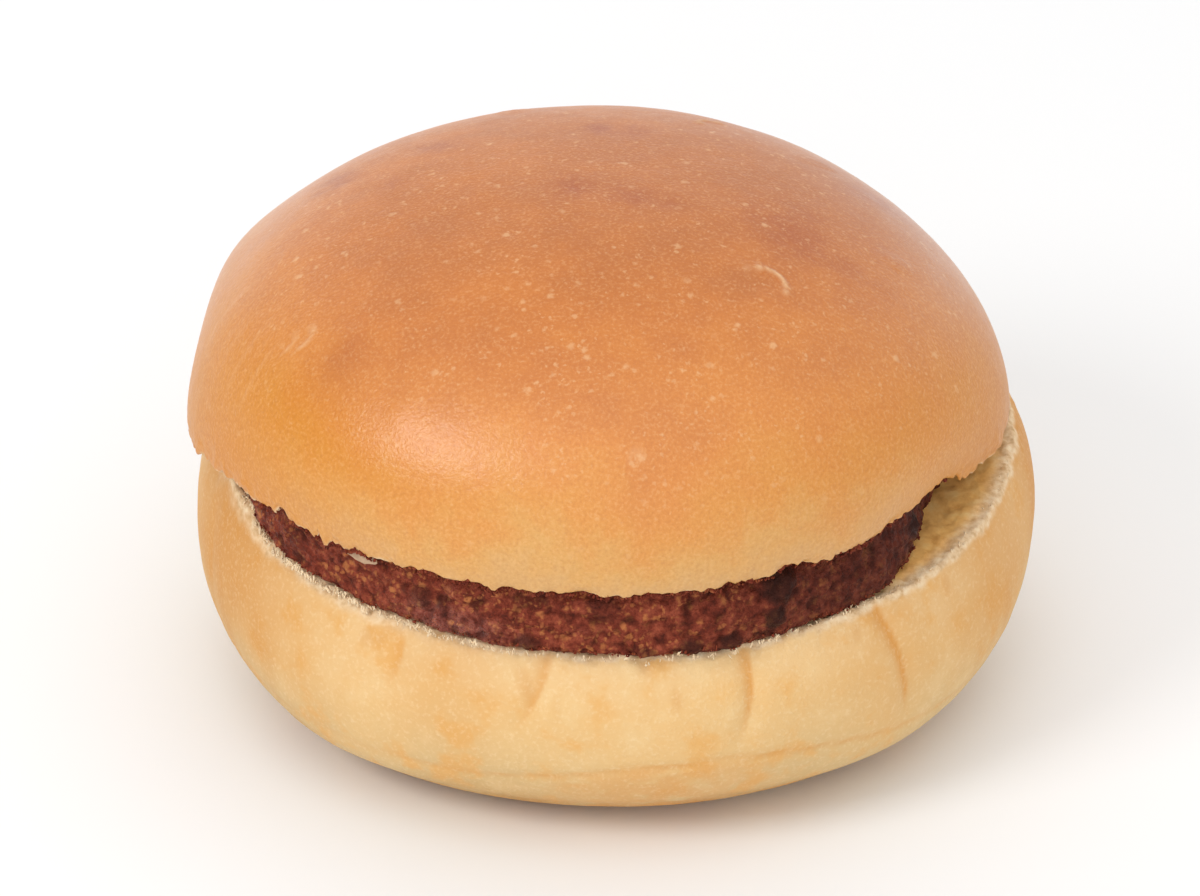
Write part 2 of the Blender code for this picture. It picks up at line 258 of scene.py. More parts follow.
# Crags of meat along the patty: how many over the upper half's rim, and how many at its foot
RIM_CRAGS = 900
FOOT_CRAGS = 260

# The camera: how far above the table it looks from, its distance, and its aim from the roll's middle
CAMERA_RISE = math.radians(30.4)
CAMERA_DISTANCE = 1.1
CAMERA_LENS = 278.9
AIM_HEIGHT = 30 * MM
AIM_LEFT = 1.66 * MM
AIM_LOWER = 2.6 * MM

# The one lamp, in front on the left, and the room: how bright it is straight ahead, how much darker at its
# sides, and by how much more or less on one of them
LAMP_PLACE = (-0.58, -0.42, 0.58)
LAMP_SIZE = 0.38
LAMP_POWER = 2.5
ROOM_BRIGHTNESS = 1.21
SIDE_SHADE = 0.95
SIDE_SHADE_DIFFERENCE = 0.35


# Modelling tools


def start_piece(name):
    """Names the new primitive, and leaves it alone, selected and in edit mode."""
    piece = bpy.context.object
    piece.name = name
    piece.data.name = name
    bpy.ops.object.mode_set(mode="EDIT")
    bpy.ops.mesh.select_mode(type="VERT")
    bpy.ops.mesh.select_all(action="SELECT")
    return piece


def end_piece(piece, look, slot, *nodes):
    """Gives a finished piece its look, smooths it, hides the solids that it stands for and hangs it on the
    root body.
    """
    piece.data.materials.clear()
    piece.data.materials.append(look)
    bpy.ops.object.select_all(action="DESELECT")
    piece.select_set(True)
    bpy.context.view_layer.objects.active = piece
    bpy.ops.object.shade_smooth()
    if nodes:
        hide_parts(*nodes)
    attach(piece, "root")


def turned(name, rings, sides):
    """Draws a circle out and up through the rings of (radius, height), smooths it and closes both ends."""
    bpy.ops.object.select_all(action="DESELECT")
    radius, height = rings[0]
    middle = (0, 0, height)
    bpy.ops.mesh.primitive_circle_add(vertices=sides, radius=radius, fill_type="NOTHING", location=middle)
    bpy.ops.object.transform_apply(location=True, rotation=False, scale=False)
    piece = start_piece(name)
    bpy.ops.mesh.select_mode(type="EDGE")
    for next_radius, next_height in rings[1:]:
        bpy.ops.mesh.extrude_edges_move(TRANSFORM_OT_translate={"value": (0, 0, next_height - height)})
        share = next_radius / radius
        bpy.ops.transform.resize(value=(share, share, 1), center_override=(0, 0, 0))
        radius, height = next_radius, next_height
    bpy.ops.object.mode_set(mode="OBJECT")
    finer = piece.modifiers.new("finer", "SUBSURF")
    finer.levels = FINER_LEVELS
    finer.render_levels = FINER_LEVELS
    bpy.ops.object.modifier_apply(modifier=finer.name)
    bpy.ops.object.mode_set(mode="EDIT")
    bpy.ops.mesh.select_all(action="DESELECT")
    bpy.ops.mesh.select_mode(type="EDGE")
    bpy.ops.mesh.select_non_manifold()
    bpy.ops.mesh.fill_holes(sides=0)
    bpy.ops.mesh.select_all(action="SELECT")
    bpy.ops.mesh.normals_make_consistent(inside=False)
    bpy.ops.object.mode_set(mode="OBJECT")
    return piece


def sculpted(piece, rule, tones):
    """Moves all the vertices as the rule says, and keeps the named tones that it gives for the material."""
    mesh = piece.data
    places = np.empty(3 * len(mesh.vertices), np.float32)
    mesh.vertices.foreach_get("co", places)
    moved, values = rule(*places.reshape(-1, 3).astype(float).T)
    mesh.vertices.foreach_set("co", np.stack(moved, axis=1).astype(np.float32).ravel())
    for tone, value in zip(tones, values):
        mesh.attributes.new(tone, "FLOAT", "POINT").data.foreach_set("value", value.astype(np.float32))
    mesh.update()


def hump(distance, half_width):
    """1 at no distance, falling smoothly towards 0 beyond half_width."""
    return np.exp(-np.square(distance / half_width))


def smooth_step(low, high, value):
    share = np.clip((value - low) / (high - low), 0.0, 1.0)
    return share * share * (3 - 2 * share)


def angle_between(a, b):
    """The smaller angle from a to b, in radians, never negative."""
    return np.abs((a - b + math.pi) % (2 * math.pi) - math.pi)


def corner_slopes(i, j, k, seed):
    """A repeatable random slope along each axis, from -1 to 1, for each corner of a grid of cubes."""
    mixed = (i * 73856093) ^ (j * 19349663) ^ (k * 83492791) ^ (seed * 6542989)
    mixed = (mixed ^ (mixed >> 13)) * 1274126177
    mixed = (mixed ^ (mixed >> 16)) & 0xFFFFFF
    return [((mixed >> shift) & 255) / 127.5 - 1 for shift in (0, 8, 16)]


def uneven(x, y, z, wavelength, seed):
    """Smooth unevenness from about -1 to 1 that repeats over no shorter length than wavelength."""
    x, y, z = np.broadcast_arrays(x / wavelength, y / wavelength, z / wavelength)
    i, j, k = (np.floor(along).astype(np.int64) for along in (x, y, z))
    x, y, z = x - i, y - j, z - k
    ease_x, ease_y, ease_z = (t * t * t * (t * (6 * t - 15) + 10) for t in (x, y, z))
    total = 0.0
    for a in (0, 1):
        for b in (0, 1):
            for c in (0, 1):
                slope_x, slope_y, slope_z = corner_slopes(i + a, j + b, k + c, seed)
                share = np.abs(1 - a - ease_x) * np.abs(1 - b - ease_y) * np.abs(1 - c - ease_z)
                total += share * (slope_x * (x - a) + slope_y * (y - b) + slope_z * (z - c))
    return total


def cells(x, y, z, size, seed):
    """How far this place is from the nearest of many scattered grains: 0 on a grain, about 1 between."""
    x, y, z = np.broadcast_arrays(x / size, y / size, z / size)
    i, j, k = (np.floor(along).astype(np.int64) for along in (x, y, z))
    nearest = np.full(x.shape, 9.0)
    for a in (-1, 0, 1):
        for b in (-1, 0, 1):
            for c in (-1, 0, 1):
                grain_x, grain_y, grain_z = corner_slopes(i + a, j + b, k + c, seed)
                away_x = i + a + 0.5 + 0.5 * grain_x - x
                away_y = j + b + 0.5 + 0.5 * grain_y - y
                away_z = k + c + 0.5 + 0.5 * grain_z - z
                nearest = np.minimum(nearest, away_x * away_x + away_y * away_y + away_z * away_z)
    return np.sqrt(nearest)


# The shapes


def fold_ramp(y):
    """How far y lies in front of the fold, easing to nothing behind it."""
    ahead = FOLD_Y - y
    return 0.5 * (ahead + np.hypot(ahead, FOLD_SOFTNESS))


def cut_waves(x, y):
    """How far the knife wandered up and down as it cut the roll in two."""
    return 0.35 * MM * uneven(x, y, 0, 17 * MM, 3)


def heel_cut(x, y):
    """Height of the lower half's cut face."""
    return CUT_HEIGHT + CUT_ROLL * x - HEEL_DIP * fold_ramp(y) + cut_waves(x, y)


def crown_cut(x, y):
    """Height of the upper half's cut face, a seam gap above the lower one at the back."""
    return CUT_HEIGHT + SEAM_GAP + CUT_ROLL * x + CROWN_LIFT * fold_ramp(y) + cut_waves(x, y)


def swell(swells, angle, z, radius):
    """How far the swells stand out, less the dents, at this place on a side of about this radius."""
    out = 0.0
    for degrees, height, stand_out, half_width, half_height in swells:
        across = radius * angle_between(angle, math.radians(degrees))
        out += stand_out * hump(across, half_width) * hump(z - height, half_height)
    return out


def heel_rings():
    """Rings of the lower half from the middle of its flat base, up its side, and in over its cut face."""
    rings = [(POLE_RADIUS, 0.0), (12 * MM, 0.0), (24 * MM, 0.0), (29.5 * MM, 0.0)]
    for i in range(11):
        turn = math.radians(90) * i / 10
        out = math.sin(turn) ** (2 / HEEL_FULLNESS)
        up = 1 - abs(math.cos(turn)) ** (2 / HEEL_FULLNESS)
        rings.append((HEEL_FOOT_RADIUS + (HEEL_RADIUS - HEEL_FOOT_RADIUS) * out, HEEL_WIDEST_Z * up))
    turn_in = (HEEL_RADIUS - HEEL_RIM_RADIUS) / (1 - math.cos(HEEL_RIM_TURN))
    rise = (CUT_HEIGHT - HEEL_WIDEST_Z) / math.sin(HEEL_RIM_TURN)
    for i in (2, 4, 6, 7.5, 8.7, 9.6):
        turn = HEEL_RIM_TURN * i / 10
        rings.append((HEEL_RADIUS - turn_in * (1 - math.cos(turn)), HEEL_WIDEST_Z + rise * math.sin(turn)))
    rings.append((HEEL_RIM_RADIUS - 0.1 * MM, CUT_HEIGHT))
    for radius in (45.9, 44.4, 42.6, 40.6, 38.2, 35.0, 28.0, 14.0):
        rings.append((radius * MM, CUT_HEIGHT))
    return rings + [(POLE_RADIUS, CUT_HEIGHT)]


def crease_across(angle, z, top, foot, low, high):
    """How far round the side this place is from the crease, less than 0 on its left as seen from outside."""
    up = np.clip((z - low) / (high - low), 0.0, 1.0)
    middle = np.radians(foot + (top - foot) * up) + CREASE_BOW * np.sin(math.pi * up)
    return HEEL_RADIUS * ((angle - middle + math.pi) % (2 * math.pi) - math.pi)


def crease_depth(angle, z):
    """How deep the creases are at this place on the lower half's side."""
    depth = 0.0
    for top, foot, low, high, deepest, half_width in CREASES:
        along = smooth_step(low - 4 * MM, low + 4 * MM, z) * (1 - smooth_step(high, high + 3 * MM, z))
        depth += deepest * hump(crease_across(angle, z, top, foot, low, high), half_width) * along
    return depth


# Its wide soft side on the left is the painted shade beside each crease
def crease_line(angle, z):
    """Up to 1 in the bottom of a crease, falling off slowly to its left and quickly to its right."""
    line = 0.0
    for top, foot, low, high, deepest, _ in CREASES:
        across = crease_across(angle, z, top, foot, low, high)
        along = smooth_step(low - 1 * MM, low + 6 * MM, z)
        along *= 1 - smooth_step(high - 3 * MM, high + 3 * MM, z)
        narrowing = 0.35 + 0.65 * smooth_step(low, high, z)
        width = np.where(across < 0, 1.25 * MM, 0.36 * MM) * narrowing
        line = np.maximum(line, hump(across, width) * along * deepest / (0.5 * MM))
    return line


def fold_height(angle):
    """Height of the crease where the lower half's side folds under, in this direction."""
    arch = FOLD_ARCH * hump(angle_between(angle, FOLD_MIDDLE), FOLD_WIDTH)
    wander = 0.9 * MM * uneven(FOLD_RADIUS * np.cos(angle), FOLD_RADIUS * np.sin(angle), 0, 9 * MM, 71)
    return FOLD_LOW + arch + wander


def golden_and_shaded(sides, angle):
    """Baked gold, with painted shade on the left, in this direction, from a half's list of sides."""
    share = 0.0
    for degrees, half_width, most in sides:
        here = hump(angle_between(angle, math.radians(degrees)), math.radians(half_width))
        share = np.maximum(share, most * here)
    return share


def rim_tear(angle):
    """How high the torn crumb stands up from the rim in this direction."""
    rise = 0.0
    for degrees, highest, half_width in RIM_TEARS:
        rise += highest * hump(HEEL_RADIUS * angle_between(angle, math.radians(degrees)), half_width)
    return rise


def heel_place(x, y, z):
    """The lower half: bent to its cut, with bulges, creases, a fold near its foot and a torn rim."""
    radius = np.hypot(x, y)
    angle = np.arctan2(y, x)
    lift = np.maximum(z, 0) / CUT_HEIGHT
    on_face = smooth_step(0.9985, 1.0, lift) * (1 - smooth_step(46.5 * MM, 46.9 * MM, radius))
    side = smooth_step(0.62 * HEEL_RADIUS, 0.9 * HEEL_RADIUS, radius)
    near_rim = smooth_step(0.86, 1.0, lift) * side
    off_round = -HEEL_THREE_SIDED * np.sin(3 * angle) * radius
    bulges = (0.4 * MM * uneven(x, y, 1.3 * z, 21 * MM, 5) + swell(HEEL_SWELLS, angle, z, radius)) * side
    foot_line = 0.55 * MM * hump(z - 4.6 * MM, 1.3 * MM) * side
    fold_strength = 0.35 + 0.65 * hump(angle_between(angle, FOLD_MIDDLE), 1.5 * FOLD_WIDTH)
    above_fold = z - fold_height(angle)
    fold = fold_strength * hump(above_fold, 0.55 * MM)
    skin = 0.12 * MM * uneven(x, y, 0.6 * z, 6 * MM, 31) + 0.05 * MM * uneven(x, y, z, 2.2 * MM, 36)
    torn = 0.25 * MM * uneven(x, y, z, 4 * MM, 8) * smooth_step(0.8, 1.0, lift) * side
    torn += 0.26 * MM * uneven(x, y, z, 1.9 * MM, 27) * near_rim
    torn += 0.20 * MM * uneven(x, y, z, 0.9 * MM, 28) * near_rim
    crease = crease_depth(angle, z) + 0.12 * MM * crease_line(angle, z) + 0.30 * MM * fold
    out = off_round + bulges + skin * side + torn * (1 - on_face) - foot_line - crease * side
    grown = 1 + out / np.maximum(radius, LEAST_RADIUS)
    new_x, new_y = x * grown, y * grown
    waves = 0.3 * MM * uneven(new_x, new_y, 0, 5 * MM, 9) * smooth_step(0.85, 1.0, lift) * side
    teeth = 0.18 - np.abs(uneven(new_x, new_y, 0, 1.7 * MM, 10))
    teeth += 0.35 * uneven(new_x, new_y, 0, 0.9 * MM, 11)
    waves += 0.60 * MM * teeth * near_rim
    waves += rim_tear(angle) * smooth_step(0.93, 1.0, lift) * smooth_step(45.4 * MM, 46.3 * MM, radius)
    open_crumb = 0.26 * MM * (cells(new_x, new_y, 0, 2.3 * MM, 4) - 0.5)
    open_crumb += 0.30 * MM * uneven(new_x, new_y, 0, 3.2 * MM, 33)
    open_crumb += 0.22 * MM * uneven(new_x, new_y, 0, 1.1 * MM, 37)
    pores = np.minimum(on_face * open_crumb, 0.12 * MM)
    new_z = z + (heel_cut(new_x, new_y) - CUT_HEIGHT + waves) * lift**1.5 + pores
    frayed = lift + 0.02 * uneven(x, y, z, 2.2 * MM, 41) + 0.012 * uneven(x, y, z, 0.9 * MM, 42)
    crumb = np.maximum(on_face, smooth_step(0.965, 0.990, frayed))
    frayed += 0.02 * uneven(x, y, z, 3 * MM, 43)
    left_tear = hump(angle_between(angle, LEFT_TEAR), LEFT_TEAR_WIDTH)
    crumb = np.maximum(crumb, left_tear * smooth_step(0.935, 0.975, frayed))
    # Deep in the cut face, where the crumb is given painted warm bounced light
    inside = on_face * (1 - smooth_step(HEEL_RIM_RADIUS - 2.6 * MM, HEEL_RIM_RADIUS - 0.3 * MM, radius))
    streaks = uneven(x, y, 0.22 * z, 2.6 * MM, 73) + 0.6 * uneven(x, y, 0.5 * z, 6 * MM, 74)
    # Baked gold at the sides and in streaks near the rim, deepened on the left as painted shade
    toast_and_shade = golden_and_shaded(HEEL_GOLDEN_AND_SHADED_SIDES, angle) * smooth_step(0.15, 0.75, lift + 0.16 * streaks)
    toast_and_shade = np.maximum(toast_and_shade, smooth_step(0.25, 0.7, 0.75 * streaks + 0.9 * (lift - 0.75)) * 0.7)
    under = smooth_step(0.2 * MM, -0.9 * MM, above_fold + 0.8 * MM * uneven(x, y, z, 4 * MM, 75))
    front = hump(angle_between(angle, FOLD_MIDDLE - 0.15), 0.6 * FOLD_WIDTH)
    under *= front + 0.30 * smooth_step(0.16, 0.06, lift)
    under *= smooth_step(-0.5, 0.1, uneven(x, y, z, 3 * MM, 76) + 0.5 * uneven(x, y, z, 1.3 * MM, 77))
    # Painted shade along the creases and along the fold
    painted_crease_shade = np.maximum(crease_line(angle, z), 0.6 * fold_strength * hump(above_fold, 0.4 * MM))
    return (new_x, new_y, new_z), (lift, crumb, painted_crease_shade, toast_and_shade, np.minimum(under, 1.0), inside)


def crown_rings():
    """Rings of the upper half from the middle of its cut face, out to the rim and up over the dome."""
    rings = [(POLE_RADIUS, 0.0)]
    for radius in (14.0, 28.0, 36.0, 39.5, 41.5, 43.0, 44.2, 45.4, 46.3):
        rings.append((radius * MM, 0.0))
    rings += [(CROWN_RIM_RADIUS, 0.25 * MM), (CROWN_RIM_RADIUS + 0.1 * MM, 0.9 * MM)]
    rings += [(CROWN_RADIUS - 0.1 * MM, 1.8 * MM), (CROWN_RADIUS, CROWN_WIDEST_Z)]
    for i in range(1, 21):
        turn = math.radians(90) * i / 21
        out = abs(math.cos(turn)) ** (2 / CROWN_FULLNESS)
        up = math.sin(turn) ** (2 / CROWN_FULLNESS)
        rings.append((CROWN_RADIUS * out, CROWN_WIDEST_Z + CROWN_DOME * up))
    return rings + [(POLE_RADIUS, CROWN_WIDEST_Z + CROWN_DOME)]


def edge_of_dome(radius):
    """0 on the top of the dome, where skin moves up and down, to 1 at its side."""
    return smooth_step(0.3 * CROWN_RADIUS, 0.95 * CROWN_RADIUS, radius)


def rim_droop(angle):
    """How far the rim hangs below the cut in this direction."""
    drop = 0.0
    for degrees, deepest, half_width in RIM_DROOPS:
        drop += deepest * hump(CROWN_RADIUS * angle_between(angle, math.radians(degrees)), half_width)
    return drop


def rim_notch(angle):
    """How far the rim is notched upwards in this direction."""
    rise = 0.0
    for degrees, highest, half_width in RIM_NOTCHES:
        rise += highest * hump(CROWN_RADIUS * angle_between(angle, math.radians(degrees)), half_width)
    return rise


def crown_blisters(x, y):
    """How high the top crust is blistered here, and how much of that is a pale raised edge."""
    relief, edges = np.zeros_like(x), np.zeros_like(x)
    for blister_x, blister_y, half_width, height in BLISTERS:
        away = np.hypot(x - blister_x, y - blister_y)
        ring = hump(away - 1.25 * half_width, 0.3 * half_width)
        relief += height * hump(away, half_width) + 0.35 * height * ring
    for blister_x, blister_y, size, width, height, degrees in BURST_BLISTERS:
        away = np.hypot(x - blister_x, y - blister_y)
        turn = angle_between(np.arctan2(y - blister_y, x - blister_x), math.radians(degrees))
        edge = hump(away - size, width) * (1 - smooth_step(math.radians(70), math.radians(105), turn))
        relief += height * edge - 0.35 * height * hump(away, 0.8 * size)
        edges = np.maximum(edges, edge * height / (0.26 * MM))
    return relief, edges


def crown_rust(x, y):
    """How rusty the top crust is here."""
    wander = uneven(x, y, 0, 3.5 * MM, 51) + 0.8 * uneven(x, y, 0, 1.5 * MM, 52)
    rust = np.zeros_like(x)
    for place_x, place_y, half_width, depth in RUSTY_PLACES:
        away = np.hypot(x - place_x, y - place_y) + 0.8 * half_width * wander
        rust = np.maximum(rust, depth * hump(np.maximum(away, 0), half_width))
    return rust


def crown_place(x, y, z):
    """The upper half: bent to its cut, with blisters, rusty places, a torn rim and the patty's hollow."""
    radius = np.hypot(x, y)
    angle = np.arctan2(y, x)
    under = 1 - smooth_step(0.02 * MM, 0.2 * MM, z)
    at_rim = 1 - smooth_step(0.5 * MM, 4 * MM, z)
    edge = smooth_step(0.9 * CROWN_RIM_RADIUS, CROWN_RIM_RADIUS, radius)
    on_dome = smooth_step(1 * MM, 6 * MM, z)
    steep = edge_of_dome(radius)
    skin = 0.25 * MM * uneven(x, y, z, 24 * MM, 12) * on_dome
    ragged = 0.45 * MM * uneven(x, y, z, 4.5 * MM, 14) + 0.3 * MM * uneven(x, y, z, 2.6 * MM, 15)
    ragged += 0.26 * MM * uneven(x, y, z, 1.1 * MM, 16)
    swells = swell(CROWN_SWELLS, angle, z, radius) * np.maximum(on_dome, edge)
    grown = 1 + (ragged * at_rim * edge + (skin + swells) * steep) / np.maximum(radius, LEAST_RADIUS)
    new_x = CROWN_CENTRE[0] + x * grown
    new_y = CROWN_CENTRE[1] + y * grown
    blisters, edges = crown_blisters(new_x, new_y)
    rust = crown_rust(new_x, new_y)
    streaks = uneven(CROWN_RADIUS * angle, 0.12 * z, 0, 1.5 * MM, 55)
    streaks *= hump(angle_between(angle, STREAKS_MIDDLE), STREAKS_WIDTH)
    streaks = 0.45 * smooth_step(0.0, 0.6, streaks)
    streaks *= smooth_step(9 * MM, 12 * MM, z) * (1 - smooth_step(16 * MM, 20 * MM, z))
    relief = blisters + 0.05 * MM * uneven(x, y, z, 5 * MM, 53) + 0.05 * MM * streaks
    relief = (relief + 0.025 * MM * uneven(x, y, z, 1.8 * MM, 54) - 0.08 * MM * rust) * on_dome
    waves = 0.5 * MM * uneven(new_x, new_y, 0, 6 * MM, 17) + 0.3 * MM * uneven(new_x, new_y, 0, 3 * MM, 18)
    waves += 1.5 * MM * (0.2 - np.abs(uneven(new_x, new_y, 0, 2.1 * MM, 19)))
    waves += 1.2 * MM * (0.2 - np.abs(uneven(new_x, new_y, 0, 1.2 * MM, 20)))
    droop = rim_droop(angle) * smooth_step(0.93 * CROWN_RIM_RADIUS, CROWN_RIM_RADIUS, radius)
    droop *= 1 - smooth_step(0, 14 * MM, z)
    waves += rim_notch(angle) * (1 - smooth_step(0, 2.2 * MM, z))
    new_z = z + crown_cut(new_x, new_y) + waves * at_rim * edge - droop + skin * (1 - steep) + relief
    away = np.hypot(new_x - PATTY_CENTRE[0], new_y - PATTY_CENTRE[1])
    hollow = 1 - smooth_step(PATTY_RADIUS + 0.2 * MM, PATTY_RADIUS + POCKET_CLEARANCE + 0.6 * MM, away)
    hollow *= 1 - smooth_step(1 * MM, 3 * MM, z)
    ceiling = heel_cut(new_x, new_y) + 2 * REST_GAP + PATTY_THICKNESS
    new_z += np.maximum(ceiling - new_z, 0) * hollow
    new_z += under * 0.35 * MM * np.abs(uneven(new_x, new_y, 0, 1.1 * MM, 34))
    crumb = 1 - smooth_step(0.05 * MM, 0.55 * MM, z + 0.5 * MM * uneven(x, y, z, 1.5 * MM, 44))
    rise = z / (CROWN_WIDEST_Z + CROWN_DOME)
    # Browner crust on the right of the dome, also painted darker there as shade
    brown_and_shade = hump(np.hypot(new_x - BROWN_AND_SHADED_PLACE[0], new_y - BROWN_AND_SHADED_PLACE[1]), BROWN_AND_SHADED_HALF_WIDTH)
    # Baked gold towards the sides, deepened on the left as painted shade
    toast_and_shade = golden_and_shaded(CROWN_GOLDEN_AND_SHADED_SIDES, angle)
    tones = (rise, np.maximum(under, crumb), rust, brown_and_shade, np.maximum(edges, streaks), toast_and_shade)
    return (new_x, new_y, new_z), tones


def patty_rings():
    """Rings of the patty from the middle of its underside, up its side, and in over its top."""
    rings = [(POLE_RADIUS, 0.0), (22 * MM, 0.0), (36 * MM, 0.0), (40.5 * MM, 0.0)]
    rings += [(PATTY_RADIUS - PATTY_FOOT_ROUND, 0.0), (PATTY_RADIUS, PATTY_FOOT_ROUND)]
    for share in (0.17, 0.25, 0.33, 0.41, 0.49, 0.57, 0.65):
        rings.append((PATTY_RADIUS, PATTY_THICKNESS * share))
    for i in (3, 2, 1, 0):
        turn = math.radians(30 * i)
        in_from_side = PATTY_TOP_ROUND * (1 - math.sin(turn))
        rings.append((PATTY_RADIUS - in_from_side, PATTY_THICKNESS - PATTY_TOP_ROUND * (1 - math.cos(turn))))
    for radius in (38.5, 34.0, 20.0):
        rings.append((radius * MM, PATTY_THICKNESS))
    return rings + [(POLE_RADIUS, PATTY_THICKNESS)]


def patty_place(x, y, z):
    """The patty: minced grains with gaps between them, and charred lumps."""
    radius = np.hypot(x, y)
    angle = np.arctan2(y, x)
    side = smooth_step(0.86 * PATTY_RADIUS, 0.99 * PATTY_RADIUS, radius)
    low = 1 - smooth_step(0.4 * PATTY_THICKNESS, 0.95 * PATTY_THICKNESS, z)
    spread = 0.0
    for degrees, out, half_width in PATTY_SPREADS:
        reach = low if out > 0 else 1.0
        spread += out * reach * hump(PATTY_RADIUS * angle_between(angle, math.radians(degrees)), half_width)
    lumps, char_and_shade = 0.0, 0.0
    for degrees, height, out, half_width in CHAR_LUMPS:
        across = np.hypot(PATTY_RADIUS * angle_between(angle, math.radians(degrees)), z - height)
        across += 0.5 * half_width * uneven(x, y, z, 1.8 * MM, 65)
        lumps += out * hump(np.maximum(across, 0), half_width)
        burnt = smooth_step(0.15, 0.65, hump(np.maximum(across, 0), 1.2 * half_width))
        char_and_shade = np.maximum(char_and_shade, burnt * min(1.5 * out / MM, 1.0))
    coarse = 0.45 * MM * uneven(x, y, z, 7 * MM, 21) + 0.35 * MM * uneven(x, y, z, 3.5 * MM, 22)
    bend = 0.5 * MM * uneven(x, y, z, 1.6 * MM, 61)
    grain = cells(x + bend, y - bend, z + bend, 1.7 * MM, 6)
    fine = cells(x - bend, y + bend, z, 0.8 * MM, 7)
    lumpy = 0.65 * MM * (0.5 - grain) + 0.50 * MM * (0.5 - fine) + 0.20 * MM * uneven(x, y, z, 0.5 * MM, 62)
    grown = 1 + side * (coarse + spread + lumpy + lumps) / np.maximum(radius, LEAST_RADIUS)
    new_x = PATTY_CENTRE[0] + x * grown
    new_y = PATTY_CENTRE[1] + y * grown
    top = smooth_step(0.5 * PATTY_THICKNESS, 0.95 * PATTY_THICKNESS, z)
    new_z = z + heel_cut(new_x, new_y) + REST_GAP + 0.5 * lumpy * top
    scorched = smooth_step(0.10, 0.50, uneven(x, y, 1.6 * z, 8 * MM, 63) + 0.5 * uneven(x, y, z, 3 * MM, 64))
    # The right end is painted darker as shade, counted with the charring, and shows fewer fat specks
    shaded_end = smooth_step(math.radians(62), math.radians(18), angle_between(angle, math.radians(335)))
    char_and_shade = np.maximum(char_and_shade, np.maximum(0.60 * scorched, 0.65 * shaded_end))
    greasy = hump(angle_between(angle, math.radians(248)), 0.16) * (1 - smooth_step(2 * MM, 6 * MM, z))
    greasy = np.maximum(greasy, smooth_step(0.15, 0.5, uneven(x, y, z, 5 * MM, 66)) * 0.6)
    return (new_x, new_y, new_z), (grain, np.minimum(char_and_shade, 1.0), greasy, 1 - shaded_end)


# Small bits


def shreds(name, places, sizes, tall, roughness, seed):
    """One piece made of many small uneven shreds: stretched, dented and tilted copies of one small ball."""
    bpy.ops.object.select_all(action="DESELECT")
    bpy.ops.mesh.primitive_uv_sphere_add(segments=6, ring_count=5, radius=1)
    ball = bpy.context.object
    corners = np.array([vertex.co[:] for vertex in ball.data.vertices])
    faces = [face.vertices[:] for face in ball.data.polygons]
    bpy.data.objects.remove(ball, do_unlink=True)
    chance = np.random.default_rng(seed)
    all_corners, all_faces = [], []
    for number, (place, size) in enumerate(zip(places, sizes)):
        jagged = 1 + roughness * chance.uniform(-1, 1, len(corners))
        stretch = chance.uniform(0.6, 1.3, 3) * (1, 1, tall)
        tilt = Euler(chance.uniform(-0.7, 0.7, 3)).to_matrix()
        shred = (corners * jagged[:, None] * stretch * size) @ np.array(tilt).T
        all_corners.append(shred + place)
        all_faces += [tuple(corner + number * len(corners) for corner in face) for face in faces]
    mesh = bpy.data.meshes.new(name)
    mesh.from_pydata(np.concatenate(all_corners).tolist(), [], all_faces)
    piece = bpy.data.objects.new(name, mesh)
    bpy.context.scene.collection.objects.link(piece)
    return piece


def places_round(rule, degrees, radius, height):
    """Places in these directions on a circle of this radius and height, moved as the piece's rule says."""
    angle = np.radians(degrees)
    moved = rule(radius * np.cos(angle), radius * np.sin(angle), np.full_like(angle, height))[0]
    return np.stack(moved, axis=1)


# Materials


def start_material(name):
    made = bpy.data.materials.new(name)
    made.use_nodes = True
    tree = made.node_tree
    shader = tree.nodes["Principled BSDF"]
    return made, tree, shader


def place_node(tree):
    return tree.nodes.new("ShaderNodeTexCoord").outputs["Object"]


def tone_node(tree, tone):
    node = tree.nodes.new("ShaderNodeAttribute")
    node.attribute_name = tone
    return node.outputs["Fac"]


def noise_node(tree, source, size, detail=2.0, roughness=0.5):
    node = tree.nodes.new("ShaderNodeTexNoise")
    node.inputs["Scale"].default_value = 1 / size
    node.inputs["Detail"].default_value = detail
    node.inputs["Roughness"].default_value = roughness
    tree.links.new(source, node.inputs["Vector"])
    return node.outputs["Fac"]


def cell_node(tree, source, size):
    node = tree.nodes.new("ShaderNodeTexVoronoi")
    node.inputs["Scale"].default_value = 1 / size
    tree.links.new(source, node.inputs["Vector"])
    return node.outputs["Distance"]


def warp_node(tree, place, size, reach):
    """Places shifted by up to about half the reach, so that a pattern on them loses its even shapes."""
    noise = tree.nodes.new("ShaderNodeTexNoise")
    noise.inputs["Scale"].default_value = 1 / size
    tree.links.new(place, noise.inputs["Vector"])
    shift = tree.nodes.new("ShaderNodeVectorMath")
    shift.operation = "MULTIPLY_ADD"
    shift.inputs[1].default_value = (reach, reach, reach)
    tree.links.new(noise.outputs["Color"], shift.inputs[0])
    tree.links.new(place, shift.inputs[2])
    return shift.outputs[0]


def sum_node(tree, kind, first, second):
    node = tree.nodes.new("ShaderNodeMath")
    node.operation = kind
    for socket, value in zip(node.inputs, (first, second)):
        if isinstance(value, (int, float)):
            socket.default_value = value
        else:
            tree.links.new(value, socket)
    return node.outputs[0]


def ease_node(tree, value, low, high, start=0.0, end=1.0):
    node = tree.nodes.new("ShaderNodeMapRange")
    node.interpolation_type = "SMOOTHSTEP"
    for name, number in (("From Min", low), ("From Max", high), ("To Min", start), ("To Max", end)):
        node.inputs[name].default_value = number
    tree.links.new(value, node.inputs["Value"])
    return node.outputs["Result"]


